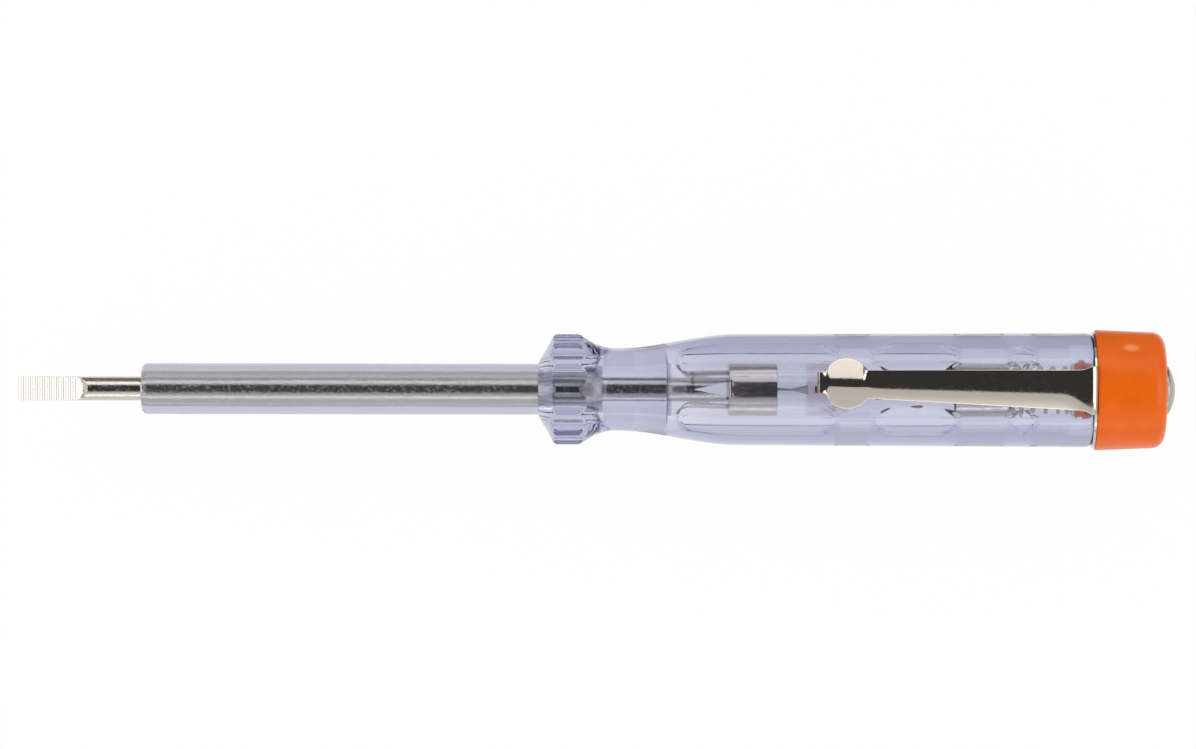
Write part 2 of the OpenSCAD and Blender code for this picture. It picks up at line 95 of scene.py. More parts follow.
def piece_of(bm, name, material, crisp=35):
    """Makes the finished object, smooth shaded but for edges sharper than the crisp angle."""
    bm.normal_update()
    for face in bm.faces:
        face.smooth = True
    for edge in bm.edges:
        if len(edge.link_faces) == 2:
            edge.smooth = edge.calc_face_angle(0) < math.radians(crisp)
    mesh = bpy.data.meshes.new(name)
    bm.to_mesh(mesh)
    bm.free()
    mesh.materials.append(material)
    piece = bpy.data.objects.new(name, mesh)
    bpy.context.scene.collection.objects.link(piece)
    return piece


def steps_between(start, end, step):
    """Evenly spaced places from start to just before end, in mm."""
    n = max(1, round((end - start) / step))
    return [start + (end - start) * i / n for i in range(n)]


def linear(code):
    """An sRGB hex colour as Blender's linear colour."""
    return tuple(c / 12.92 if c <= 0.04045 else ((c + 0.055) / 1.055) ** 2.4
                 for c in (b / 255 for b in bytes.fromhex(code))) + (1.0,)


def put(tree, kind, inputs=(), **settings):
    """Adds one node with its settings, and its inputs as values or links."""
    node = tree.nodes.new(kind)
    for name, value in settings.items():
        setattr(node, name, value)
    for key, value in dict(inputs).items():
        if isinstance(value, bpy.types.NodeSocket):
            tree.links.new(value, node.inputs[key])
        else:
            node.inputs[key].default_value = value
    return node


def blank(name):
    """An empty node material."""
    material = bpy.data.materials.new(name)
    material.use_nodes = True
    material.node_tree.nodes.clear()
    return material


def plated_metal(name, colour, rough, speck_mm, speck_tilt, draw=(1, 1, 1), dull=0.08):
    """Plated metal: specks tilt its surface, worn spots dull it, and draw stretches both along the work."""
    worn_mm = 0.3
    material = blank(name)
    tree = material.node_tree
    where = put(tree, "ShaderNodeTexCoord")
    laid = put(tree, "ShaderNodeMapping", {"Vector": where.outputs["Object"], "Scale": draw})
    specks = put(tree, "ShaderNodeTexNoise", {"Vector": laid.outputs[0], "Scale": 1000 / speck_mm,
                                              "Detail": 3.0, "Roughness": 0.6})
    worn = put(tree, "ShaderNodeTexNoise", {"Vector": laid.outputs[0], "Scale": 1000 / worn_mm,
                                            "Detail": 2.0})
    roughness = put(tree, "ShaderNodeMapRange", {"Value": worn.outputs["Fac"], "From Min": 0.48,
                                                 "From Max": 0.66, "To Min": rough, "To Max": rough + dull})
    bump = put(tree, "ShaderNodeBump", {"Height": specks.outputs["Fac"], "Strength": 1.0,
                                        "Distance": speck_mm * speck_tilt * MM})
    metal = put(tree, "ShaderNodeBsdfPrincipled", {"Base Color": linear(colour), "Metallic": 1.0,
                                                   "Roughness": roughness.outputs[0],
                                                   "Normal": bump.outputs[0]})
    put(tree, "ShaderNodeOutputMaterial", {"Surface": metal.outputs[0]})
    return material


# Nickel plate on drawn steel wire: a warm grey mirror, broken by specks that run with the draw.
# They are coarser than on real wire, so that they show.
blade_nickel = plated_metal("drawn_nickel_plated_steel", "C9C5BE", 0.10, 0.18, 0.13, (0.7, 1, 1), 0.16)


def flat_half(d, across):
    """Half thickness left by the wheel at a place of the blade, with its cross lines and round run-out."""
    past = d - flats_len + wheel_bow * across ** 2
    if past > 0:
        reach = min(past + wheel_start, wheel_r)
        return root_half + math.sqrt(wheel_r ** 2 - wheel_start ** 2) - math.sqrt(wheel_r ** 2 - reach ** 2)
    turn = d / line_pitch % 1
    into_line = (0.5 - abs(turn - 0.5) - crest_share) / (foot_share - crest_share)
    cut = line_depth * min(1, max(0, into_line))
    return tip_half + (root_half - tip_half) * d / flats_len - cut


# The cross lines are V-shaped, with flat crests and narrow feet, so that their flanks catch the light.
line_shares = (crest_share, 0.24, 0.36, foot_share)
line_shares += tuple(1 - share for share in reversed(line_shares))
lines = [(k + share) * line_pitch for k in range(round(flats_len / line_pitch)) for share in line_shares]
stem_end = fork_from + 0.1
stations = [0] + lines + steps_between(lines[-1] + 0.05, ground_to, 0.05) \
    + [ground_to, ground_to + 0.1, 9.0] + steps_between(10, stem_end, 6) + [stem_end]
blade_mesh = turned([(0, 0)] + [(d, blade_r) for d in stations] + [(stem_end, 0)])
for v in blade_mesh.verts:
    d, across, up = mm_of(v)
    if d < ground_to + 0.05 and abs(up) > flat_half(d, across):
        v.co = spot(d, across, math.copysign(flat_half(d, across), up))
prong = turned([(fork_from - prong_root, 0), (fork_from - prong_root, blade_r),
                (blade_end - prong_chamfer, blade_r), (blade_end, blade_r - prong_chamfer), (blade_end, 0)])
slope = Vector((blade_end - fork_from, fork_half, 0))
bmesh.ops.bisect_plane(prong, geom=prong.verts[:] + prong.edges[:] + prong.faces[:],
                       plane_co=spot(fork_from), plane_no=(slope.y, -slope.x, 0), clear_outer=True)
bmesh.ops.holes_fill(prong, edges=[e for e in prong.edges if e.is_boundary])
copy_into(blade_mesh, prong)
bmesh.ops.scale(prong, vec=(1, -1, 1), space=Matrix.Identity(4), verts=prong.verts[:])
bmesh.ops.reverse_faces(prong, faces=prong.faces[:])
copy_into(blade_mesh, prong)
prong.free()
blade = piece_of(blade_mesh, "ground_blade", blade_nickel, 16)
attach(blade, "handle")
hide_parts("blade")

# Blade sleeve: clear plastic tube, extruded, cut and pressed hot over the blade, so that it wets the steel.
# Its front end is rounded, and a small shoulder stops it in the handle.
sleeve_r, nose_r, mouth_r = 3.125, 0.9, 1.8
sleeve_from, guard_from = 15.1, 63.9
seat_r, seat_end = 2.925, 71.48
fit = 0.02
wet_r = blade_r - 0.015


def clear_plastic(name, colour, tint, per_mm, rough, wave_mm, wave_tilt, draw=(1, 1, 1), ior=1.48):
    """Clear plastic that takes its tint from its thickness and lets light through to what it holds."""
    material = blank(name)
    tree = material.node_tree
    where = put(tree, "ShaderNodeTexCoord")
    laid = put(tree, "ShaderNodeMapping", {"Vector": where.outputs["Object"], "Scale": draw})
    waves = put(tree, "ShaderNodeTexNoise", {"Vector": laid.outputs[0], "Scale": 1000 / wave_mm,
                                             "Detail": 2.0})
    bump = put(tree, "ShaderNodeBump", {"Height": waves.outputs["Fac"], "Strength": 1.0,
                                        "Distance": wave_mm * wave_tilt * MM})
    clear = put(tree, "ShaderNodeBsdfPrincipled", {"Base Color": linear(colour), "Transmission Weight": 1.0,
                                                   "Roughness": rough, "IOR": ior,
                                                   "Normal": bump.outputs[0]})
    light = put(tree, "ShaderNodeLightPath")
    open_way = put(tree, "ShaderNodeBsdfTransparent", {"Color": linear("F7F7FC")})
    both = put(tree, "ShaderNodeMixShader", {0: light.outputs["Is Shadow Ray"], 1: clear.outputs[0],
                                             2: open_way.outputs[0]})
    dye = put(tree, "ShaderNodeVolumeAbsorption", {"Color": linear(tint), "Density": per_mm / MM})
    put(tree, "ShaderNodeOutputMaterial", {"Surface": both.outputs[0], "Volume": dye.outputs[0]})
    return material


def quarter_turn(count=12):
    """Evenly spaced angles from 0 to 90 degrees, in radians."""
    return [math.pi / 2 * i / count for i in range(count + 1)]


# Extruded PVC: clear with a lavender cast at its edges, and faint streaks along the tube.
sleeve_clear = clear_plastic("extruded_clear_pvc", "ECECF0", "6673B0", 0.088, 0.04, 0.4, 0.03, (0.05, 1, 1))
nose = [(sleeve_from + nose_r * (1 - math.cos(a)), sleeve_r - nose_r * (1 - math.sin(a)))
        for a in quarter_turn()]
tube_end = guard_from - fit
sleeve = piece_of(turned(
    [(sleeve_from, wet_r), (sleeve_from, mouth_r)] + nose
    + [(d, sleeve_r) for d in steps_between(18, tube_end, 4)]
    + [(tube_end, sleeve_r), (tube_end, seat_r), (seat_end, seat_r), (seat_end, wet_r)],
    128, ring=True), "clear_blade_sleeve", sleeve_clear)
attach(sleeve, "handle")
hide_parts("blade_sleeve")

# Handle: one clear injection moulding in cellulose plastic with a faint lavender dye, polished in the mould.
# A fluted guard stops the fingers, the neck is waisted, and the grip has five columns of sunk flat panels.
# The lamp's bore is open to the rear, with a wider mouth for the cap's plug.
land_from, slope_from, neck_from, grip_from, handle_end = 65.9, 69.0, 73.5, 88.3, 131.81
guard_face_r, guard_r, neck_r, grip_front_r, grip_rear_r = 3.35, 6.78, 5.04, 6.83, 7.0
corner_soft, rear_chamfer = 0.22, 0.3
bore_from, bore_r, socket_from, socket_r = 79.8, 3.5, 129.07, 3.78
hole_r, floor_ring_r = 1.495, 2.4
socket_chamfer, bore_chamfer = 0.12, 0.15
flute_count, flute_first, flute_r, flute_depth = 12, math.radians(15), 2.4, 0.55
panel_count, panel_first = 5, math.radians(36)
panels = [(80.84, 100.6), (104.7, 115.4), (121.35, 124.95)]
panel_end_half, panel_half, panel_slant, round_front = 0.9, 2.9, 3.0, 3.6
panel_share = 0.937
rim_from, rim_to, rim_reach, side_rim_share = -0.26, 0.48, 0.4, 0.8
# The meeting of a flute or a panel with the round is softened by these, in square mm.
flute_soft, panel_soft = 0.003, 0.0012


def outline_r(d):
    """Radius of the handle before its flutes and panels are sunk, with rounded corners."""
    def sharp(at):
        if at < land_from:
            return guard_face_r + (guard_r - guard_face_r) * (at - guard_from) / (land_from - guard_from)
        if at < slope_from:
            return guard_r
        if at < neck_from:
            t = (at - slope_from) / (neck_from - slope_from)
            return neck_r + (guard_r - neck_r) * (1 - t) ** 2
        if at < grip_from:
            t = (at - neck_from) / (grip_from - neck_from)
            return neck_r + (grip_front_r - neck_r) * t * t * (3 - 2 * t)
        chamfer_from = handle_end - rear_chamfer
        r = grip_front_r + (grip_rear_r - grip_front_r) * (at - grip_from) / (chamfer_from - grip_from)
        return min(r, grip_rear_r - (at - chamfer_from))
    soft = corner_soft if guard_from + 0.3 < d < handle_end - 0.1 else 0
    return sum(sharp(d + soft * k / 3) for k in range(-3, 4)) / 7


def ramp(x, low, high):
    """0 below low, 1 above high, and a smooth rise between."""
    t = min(max((x - low) / (high - low), 0), 1)
    return t * t * (3 - 2 * t)


def off_centre(angle, count, first):
    """Angle to the nearest of so many equally spaced lines, in radians."""
    step = 2 * math.pi / count
    return (angle - first + step / 2) % step - step / 2


def handle_surface(d, angle):
    """Radius of the handle's outside at a place along it and an angle from the top."""
    r = outline_r(d)
    if d < neck_from:
        a = off_centre(angle, flute_count, flute_first)
        middle = guard_r - flute_depth + flute_r
        if abs(a) < math.asin(flute_r / middle):
            deep = r - (middle * math.cos(a) - math.sqrt(flute_r ** 2 - (middle * math.sin(a)) ** 2))
            r -= (deep + math.sqrt(deep ** 2 + flute_soft)) / 2
        return r
    a = off_centre(angle, panel_count, panel_first)
    side = abs(r * math.sin(a))
    for k, (start, end) in enumerate(panels):
        if not start - rim_reach < d < end + rim_reach:
            continue
        front_half = panel_end_half + (panel_half - panel_end_half) * max(0, d - start) / panel_slant
        if k == 0:
            front_half = panel_half * math.sqrt(max(0, 1 - max(0, 1 - (d - start) / round_front) ** 2))
        rear_half = panel_end_half + (panel_half - panel_end_half) * max(0, end - d) / panel_slant
        inside = min(d - start, end - d, (front_half - side) * side_rim_share,
                     (rear_half - side) * side_rim_share)
        deep = r * (1 - panel_share / math.cos(a))
        deep = (deep + math.sqrt(deep ** 2 + panel_soft)) / 2
        r -= deep * ramp(inside, rim_from, rim_to)
    return r


# Stretches of the handle with the step of their rings, which are close together where a form starts or ends.
stretches = [(guard_from, 0.16), (66.3, 0.5), (68.6, 0.17), (neck_from, 0.5), (80.6, 0.18), (85.2, 0.7),
             (98.4, 0.13), (100.9, 0.5), (104.4, 0.13), (106.9, 0.7), (113.2, 0.13), (115.7, 0.6),
             (121.1, 0.13), (125.2, 0.7), (131.4, 0.1), (handle_end, 0)]
places = [d for (start, step), (end, _) in zip(stretches, stretches[1:])
          for d in steps_between(start, end, step)]
outside_line = [(d, outline_r(d)) for d in places] + [(handle_end, grip_rear_r - rear_chamfer)]
bore_line = [(handle_end, socket_r + socket_chamfer), (handle_end - socket_chamfer, socket_r),
             (socket_from, socket_r), (socket_from, bore_r)] \
    + [(d, bore_r) for d in range(125, 80, -5)] \
    + [(bore_from + bore_chamfer, bore_r), (bore_from, bore_r - bore_chamfer), (bore_from, floor_ring_r),
       (bore_from, hole_r), (seat_end + fit, hole_r), (seat_end + fit, seat_r + fit),
       (guard_from, seat_r + fit)]
handle_mesh = turned(outside_line + bore_line, 300, ring=True)
for v in handle_mesh.verts:
    d, across, up = mm_of(v)
    r = math.hypot(across, up)
    if abs(r - outline_r(d)) < 1e-3 and d > guard_from + 0.05:
        new_r = handle_surface(d, math.atan2(across, up))
        v.co = spot(d, across * new_r / r, up * new_r / r)
# Moulded cellulose acetate butyrate: glass clear with a lavender dye that shows where it is thick.
handle_clear = clear_plastic("moulded_clear_cellulose", "F3F3F7", "4D63B4", 0.073, 0.015, 3.0, 0.012)
handle = piece_of(handle_mesh, "clear_handle", handle_clear, 50)
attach(handle, "handle")
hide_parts("handle")

# Lamp ferrule: a cap drawn from nickel-plated sheet, with a dished front that the blade's fork bears on.
# It is pressed on the front of the glow lamp and is its first contact.
glass_from, glass_r = 87.55, 2.63
ferrule_from, ferrule_end, ferrule_r, ferrule_wall_r = 87.3, 93.2, 2.9, 2.84
dish_depth, dish_r, dish_rim_r = 0.12, 1.2, 1.5
# Bright nickel on pressed sheet: an even mirror with faint draw lines.
sheet_nickel = plated_metal("bright_nickel_plated_sheet", "CFC8BD", 0.08, 0.3, 0.05, (0.3, 1, 1))
rolled_edge = [(0, 2.6), (0.05, 2.78), (0.14, 2.87), (0.28, ferrule_r), (0.45, 2.88), (0.6, ferrule_wall_r)]
ferrule_mesh = turned(
    [(ferrule_from + dish_depth, 0), (ferrule_from + dish_depth, dish_r), (ferrule_from, dish_rim_r)]
    + [(ferrule_from + along, r) for along, r in rolled_edge]
    + [(ferrule_end - 0.05, ferrule_wall_r), (ferrule_end, ferrule_wall_r - 0.04),
       (ferrule_end, glass_r + 0.03), (glass_from, glass_r + fit), (glass_from - fit, 0)])
# Pressed sheet is never quite round, and that breaks its reflections into bands.
# Each wave has a height in mm, a number of crests round the ferrule and the angle it starts at.
waves = ((0.022, 5, 0.6), (0.012, 9, -1.0))
wave_room = 0.02
for v in ferrule_mesh.verts:
    d, across, up = mm_of(v)
    r, a = math.hypot(across, up), math.atan2(across, up)
    if d > ferrule_from + 0.5 and r > glass_r + 0.07:
        new_r = r - wave_room + sum(high * math.cos(crests * a + first) for high, crests, first in waves)
        v.co = spot(d, across * new_r / r, up * new_r / r)
ferrule = piece_of(ferrule_mesh, "lamp_cap", sheet_nickel)
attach(ferrule, "handle")
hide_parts("lamp_ferrule")

# Lamp glass: a drawn soda-glass tube that holds the neon, closed flat in the ferrule and domed behind.
# Its wires are melted into both ends.
glass_end, glass_wall, dome_len = 104.05, 0.5, 2.0
wire_r = 0.2
wire_hole_r = wire_r + fit
glass_inner_r = glass_r - glass_wall


def dome(apex, r, depth):
    """Outline of a dome from the tube to the wire's hole."""
    return [(apex - depth * (1 - math.sin(a)), max(r * math.cos(a), wire_hole_r)) for a in quarter_turn(8)]


# Drawn soda-lime glass: colourless, its wall seen as two bright lines.
soda_glass = clear_plastic("drawn_soda_glass", "FCFDFD", "C8D8D0", 0.01, 0.0, 2.0, 0.002, ior=1.51)
bulb = piece_of(turned(
    [(glass_from, wire_hole_r), (glass_from, glass_r)] + dome(glass_end, glass_r, dome_len)
    + dome(glass_end - glass_wall, glass_inner_r, dome_len - glass_wall)[::-1]
    + [(glass_from + glass_wall, glass_inner_r), (glass_from + glass_wall, wire_hole_r)], ring=True),
    "lamp_bulb", soda_glass)
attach(bulb, "handle")
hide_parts("lamp_glass")

# Front electrode: nickel wire from the ferrule, upset to a small hollow arrow head.
# The neon glows between it and the rear electrode.
arrow_from, arrow_end, arrow_r, arrow_neck_r, arrow_hollow_r = 95.1, 97.0, 0.6, 0.12, 0.2
# Nickel electrode wire, dulled grey by the getter flash.
electrode_nickel = plated_metal("flashed_nickel_wire", "CBC6BC", 0.5, 0.15, 0.08)
point = piece_of(turned([
    (glass_from, 0), (glass_from, wire_r), (arrow_from - 0.2, wire_r * 0.8), (arrow_from, arrow_neck_r),
    (arrow_end - 0.8, 0.4), (arrow_end, arrow_r), (arrow_end + 0.03, arrow_r - 0.05),
    (arrow_end - 0.4, arrow_hollow_r), (arrow_end - 0.45, 0)], 32), "front_electrode", electrode_nickel)
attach(point, "handle")
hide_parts("lamp_front_electrode")

# Rear electrode and bead: a rod welded on copper-clad lead wire, and the bead that the wire leaves through.
# Wire and bead are fused to one seal inside the dome of the glass, so both are copper red.
rod_from, rod_end, rod_r, rod_edge_r = 97.85, 102.13, 0.44, 0.38
wires_meet_at = 104.45
bead_at, bead_half, bead_r = 102.65, 0.5, 0.88
# Copper-clad lead wire: red-brown, with drawn lines.
copper_clad = plated_metal("copper_clad_wire", "B5715A", 0.28, 0.2, 0.05, (0.2, 1, 1))
rear_electrode = piece_of(turned([
    (rod_from, 0), (rod_from, rod_edge_r), (rod_from + 0.05, rod_r), (rod_end - 0.05, rod_r),
    (rod_end, rod_edge_r), (rod_end, wire_r), (wires_meet_at, wire_r), (wires_meet_at, 0)], 32),
    "rear_electrode", copper_clad)
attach(rear_electrode, "handle")
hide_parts("lamp_rear_electrode")
bead = [(bead_half, wire_hole_r), (0.45, 0.6), (0.3, 0.82)]
seal = piece_of(turned(
    [(bead_at - along, r) for along, r in bead] + [(bead_at, bead_r)]
    + [(bead_at + along, r) for along, r in reversed(bead)], 32, ring=True), "sealing_bead", copper_clad)
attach(seal, "handle")
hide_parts("lamp_seal")

# Lamp film: a short sleeve of thin pink film, wound and slipped over the rear of the glass.
# It steadies the lamp in the bore.
film_from, film_end, film_r = 96.85, 102.05, 2.85
film_inner_r = glass_r + 0.03
# Cast pink film: nearly clear, its edges a soft rose.
pink_film = clear_plastic("cast_pink_film", "FEFAFB", "EFA9B3", 0.1, 0.03, 1.0, 0.01)
film = piece_of(turned([(film_from, film_inner_r), (film_from, film_r), (film_end, film_r),
                        (film_end, film_inner_r)], ring=True), "pink_lamp_film", pink_film)
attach(film, "handle")
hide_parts("lamp_sleeve")

# Resistor leads: tinned copper wire, welded to the resistor's caps.
# The front lead meets the lamp's wire and the rear lead runs on into the contact cup.
res_from, res_end, coat = 105.05, 111.25, 0.1845
lead_r, lead_end = 0.25, 121.45
# Hot-tinned copper: soft white metal.
tinned = plated_metal("hot_tinned_wire", "C9C7C2", 0.22, 0.25, 0.06, (0.3, 1, 1))
front_lead = piece_of(turned([(wires_meet_at, 0), (wires_meet_at, lead_r), (res_from + coat, lead_r),
                              (res_from + coat, 0)], 24), "front_lead", tinned)
rear_lead = piece_of(turned([(res_end - coat, 0), (res_end - coat, lead_r), (lead_end - 0.05, lead_r),
                             (lead_end, lead_r - 0.05), (lead_end, 0)], 24), "rear_lead", tinned)
for lead, node in ((front_lead, "resistor_front_lead"), (rear_lead, "resistor_rear_lead")):
    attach(lead, "handle")
    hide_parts(node)

# Resistor rod and caps: a fired ceramic rod with a carbon film, held by two pressed and tinned caps.
# The lacquer hides all three, so the CAD's own solids stand for them.
grit_mm = 0.2
# Fired steatite rod: chalky white, fully covered.
steatite = blank("fired_steatite")
tree = steatite.node_tree
grit = put(tree, "ShaderNodeTexNoise", {"Vector": put(tree, "ShaderNodeTexCoord").outputs["Object"],
                                        "Scale": 1000 / grit_mm, "Detail": 3.0})
shade = put(tree, "ShaderNodeValToRGB", {"Fac": grit.outputs["Fac"]})
shade.color_ramp.elements[0].color = linear("D9D0BE")
shade.color_ramp.elements[1].color = linear("F0EADB")
clay = put(tree, "ShaderNodeBsdfPrincipled", {"Base Color": shade.outputs["Color"], "Roughness": 0.7})
put(tree, "ShaderNodeOutputMaterial", {"Surface": clay.outputs[0]})
hidden = (("resistor_core", steatite), ("resistor_front_cap", tinned), ("resistor_rear_cap", tinned))
for node, material in hidden:
    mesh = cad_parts[node].data
    mesh.materials.clear()
    mesh.materials.append(material)

# Resistor lacquer: a coat of red-brown lacquer, dipped over rod and caps and baked.
# It pulls thin between the caps and swells over them.
res_r, cap_room_r, rod_room_r, cap_len = 1.23, 1.06, 0.87, 1.24
lead_hole_r = lead_r + fit
flow_mm, sag_mm = 0.8, 0.02
# Baked lacquer: dark red, glossy where it pulls tight over the caps.
lacquer = blank("baked_red_lacquer")
tree = lacquer.node_tree
flow = put(tree, "ShaderNodeTexNoise", {"Vector": put(tree, "ShaderNodeTexCoord").outputs["Object"],
                                        "Scale": 1000 / flow_mm, "Detail": 2.0})
tone = put(tree, "ShaderNodeValToRGB", {"Fac": flow.outputs["Fac"]})
tone.color_ramp.elements[0].color = linear("5E221E")
tone.color_ramp.elements[1].color = linear("86362B")
sag = put(tree, "ShaderNodeBump", {"Height": flow.outputs["Fac"], "Strength": 1.0, "Distance": sag_mm * MM})
coat_shader = put(tree, "ShaderNodeBsdfPrincipled", {"Base Color": tone.outputs["Color"], "Roughness": 0.25,
                                                     "IOR": 1.52, "Normal": sag.outputs[0]})
put(tree, "ShaderNodeOutputMaterial", {"Surface": coat_shader.outputs[0]})
# Both ends are alike, so the swell and the room inside are given in mm from an end.
swell = [(0, lead_hole_r), (0, 0.28), (0.03, 0.7), (0.12, 1.02), (0.3, 1.17), (0.55, res_r), (0.85, 1.2),
         (1.15, 1.14), (1.43, 1.09), (1.62, 0.93), (2.2, 0.9)]
room = [(coat - fit, lead_hole_r), (coat - fit, cap_room_r), (coat + cap_len + fit, cap_room_r),
        (coat + cap_len + fit, rod_room_r)]
coating = piece_of(turned(
    [(res_from + a, r) for a, r in swell] + [(res_end - a, r) for a, r in reversed(swell)]
    + [(res_end - a, r) for a, r in room] + [(res_from + a, r) for a, r in reversed(room)],
    64, ring=True), "lacquer_coat", lacquer)
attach(coating, "handle")
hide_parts("resistor_coating")

# Contact cup: drawn nickel-plated brass cup, closed behind, that takes the resistor's lead.
# It passes the current on to the spring, which stands on its closed end.
cup_from, cup_end, cup_r, cup_wall, cup_corner = 115.05, 121.75, 3.3, 0.3, 0.45
cup = piece_of(turned([
    (cup_from + 0.08, cup_r - cup_wall), (cup_from, cup_r - 0.22), (cup_from, cup_r - 0.12),
    (cup_from + 0.3, cup_r - 0.02), (cup_from + 0.5, cup_r),
    (cup_end - cup_corner, cup_r), (cup_end - 0.13, cup_r - 0.13), (cup_end, cup_r - cup_corner),
    (cup_end, 0), (cup_end - cup_wall, 0), (cup_end - cup_wall, cup_r - 0.55),
    (cup_end - 0.5, cup_r - cup_wall)], ring=True), "drawn_contact_cup", sheet_nickel)
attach(cup, "handle")
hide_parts("contact_cup")

# Contact spring: wound from spring-steel wire, with four open turns and a part turn closed at each end.
# It stands on the cup and pushes on the cap's washer.
spring_len, coil_r, coil_wire_r = 7.4, 2.75, 0.25
open_turns, closed_turns, closed_pitch_share, rings_per_turn = 4, 0.75, 1.05, 40
# Drawn spring wire: grey steel with a fine grain.
spring_wire = plated_metal("drawn_spring_wire", "B9B6B0", 0.2, 0.12, 0.06)
spring_mesh = bmesh.new()
wire = bmesh.ops.create_circle(spring_mesh, segments=12, radius=coil_wire_r * MM)["verts"]
bmesh.ops.rotate(spring_mesh, cent=(0, 0, 0), matrix=Matrix.Rotation(math.radians(90), 3, "X"), verts=wire)
bmesh.ops.translate(spring_mesh, vec=spot(cup_end + coil_wire_r, 0, coil_r), verts=wire)
last = wire + list({e for v in wire for e in v.link_edges})
closed_rise = closed_turns * 2 * coil_wire_r * closed_pitch_share
open_rise = spring_len - 2 * coil_wire_r - 2 * closed_rise
for turns, rise in ((closed_turns, closed_rise), (open_turns, open_rise), (closed_turns, closed_rise)):
    n = round(turns * rings_per_turn)
    last = bmesh.ops.spin(spring_mesh, geom=last, cent=spot(0), axis=(1, 0, 0), dvec=(rise * MM / n, 0, 0),
                          angle=turns * 2 * math.pi, steps=n, use_merge=False,
                          use_duplicate=False)["geom_last"]
bmesh.ops.holes_fill(spring_mesh, edges=[e for e in spring_mesh.edges if e.is_boundary])
bmesh.ops.recalc_face_normals(spring_mesh, faces=spring_mesh.faces[:])
spring = piece_of(spring_mesh, "wound_contact_spring", spring_wire)
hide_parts("contact_spring")
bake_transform(spring)

# Washer: a ring punched from nickel-plated sheet, its edges rounded on the punch's side.
# It sits under the rivet's tail, and the spring bears on it.
washer_from, washer_r, plug_from = 129.15, 3.26, 129.55
shank_r = 1.5
shank_hole_r = shank_r + fit
washer = piece_of(turned([
    (washer_from + 0.06, shank_hole_r), (washer_from, shank_hole_r + 0.06), (washer_from, washer_r - 0.1),
    (washer_from + 0.04, washer_r - 0.03), (washer_from + 0.12, washer_r), (plug_from, washer_r),
    (plug_from, shank_hole_r)], ring=True), "punched_washer", sheet_nickel)
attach(washer, "cap")
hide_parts("contact_washer")

# Touch contact: a solid nickel-plated rivet with a low dome.
# It is pushed through the cap and headed over the washer, and its dome is brushed.
cap_end = 140.8
touch_r, touch_edge, touch_dome = 2.97, 0.5, 0.87
tail_len, tail_r = 0.4, 1.87
# Brushed nickel: softly blurred along its brush lines, lighter than the polished clip.
touch_nickel = plated_metal("brushed_nickel_rivet", "A9A49C", 0.28, 0.12, 0.03, (1, 1, 0.3), 0.05)
dome_radius = (touch_r ** 2 + touch_dome ** 2) / (2 * touch_dome)
dome_half = math.asin(touch_r / dome_radius)
touch = piece_of(turned(
    [(washer_from - tail_len, 0), (washer_from - tail_len, shank_r), (washer_from - 0.34, 1.72),
     (washer_from - 0.16, 1.86), (washer_from, tail_r), (washer_from, shank_r), (cap_end, shank_r),
     (cap_end, touch_r - 0.04), (cap_end + 0.05, touch_r), (cap_end + touch_edge - 0.08, touch_r),
     (cap_end + touch_edge - 0.02, touch_r - 0.03)]
    + [(PEN_LEN - dome_radius * (1 - math.cos(a)), dome_radius * math.sin(a))
       for a in (dome_half * i / 16 for i in range(15, -1, -1))], 128), "touch_rivet", touch_nickel)
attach(touch, "cap")
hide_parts("touch_contact")

# End cap: satin orange ABS moulding with a threaded plug that clamps the clip's collar.
# The point where the plastic was fed into the mould shows as a small pale oval dimple on its side.
cap_from, cap_r, cap_taper, corner_r = 132.25, 7.41, 0.28, 1.6
plug_r, thread_depth, thread_pitch = 3.7, 0.35, 1.25
thread_foot_share, thread_crest_share, thread_fade = 0.18, 0.34, 0.4
gate_at, gate_angle, gate_r = 136.4, math.radians(46), 7.15
gate_half_len, gate_half_wide, gate_depth = 1.0, 0.62, 0.09
side_end = cap_end - corner_r
side_least_r = 7
core_r = plug_r - thread_depth
front_rings, end_rings = (4.5, 6.3, cap_r - 0.12), (4.6, 3.6, 3.05, shank_hole_r)
cap_outline = [(plug_from, shank_hole_r), (plug_from, core_r - 0.15)] \
    + [(d, core_r) for d in steps_between(plug_from + 0.1, cap_from, 0.085)] + [(cap_from, core_r)] \
    + [(cap_from, r) for r in front_rings] \
    + [(cap_from + 0.04, cap_r - 0.05), (cap_from + 0.12, cap_r - 0.01)] \
    + [(d, cap_r - cap_taper * (d - cap_from) / (side_end - cap_from))
       for d in steps_between(cap_from + 0.25, side_end, 0.22)] \
    + [(side_end + corner_r * math.sin(a), cap_r - cap_taper - corner_r * (1 - math.cos(a)))
       for a in quarter_turn()] \
    + [(cap_end, r) for r in end_rings]
cap_mesh = turned(cap_outline, 192, ring=True)
for v in cap_mesh.verts:
    d, across, up = mm_of(v)
    r = math.hypot(across, up)
    if abs(r - core_r) < 1e-3 and plug_from + 0.05 < d < cap_from - 0.02:
        turn = ((d - plug_from) / thread_pitch - math.atan2(up, across) / (2 * math.pi)) % 1
        rise = ramp(0.5 - abs(turn - 0.5), thread_foot_share, thread_crest_share) \
            * ramp(d, plug_from, plug_from + thread_fade)
        new_r = r + thread_depth * rise * ramp(cap_from - d, 0, 0.25)
    elif cap_from + 0.2 < d < side_end and r > side_least_r:
        round_by = r * (math.atan2(across, up) - gate_angle)
        near = math.hypot((d - gate_at) / gate_half_len, round_by / gate_half_wide)
        new_r = r - gate_depth * (1 - ramp(near, 0.55, 1.15))
    else:
        continue
    v.co = spot(d, across * new_r / r, up * new_r / r)
mottle_mm, grain_mm, grain_deep_mm = 2.5, 0.15, 0.006
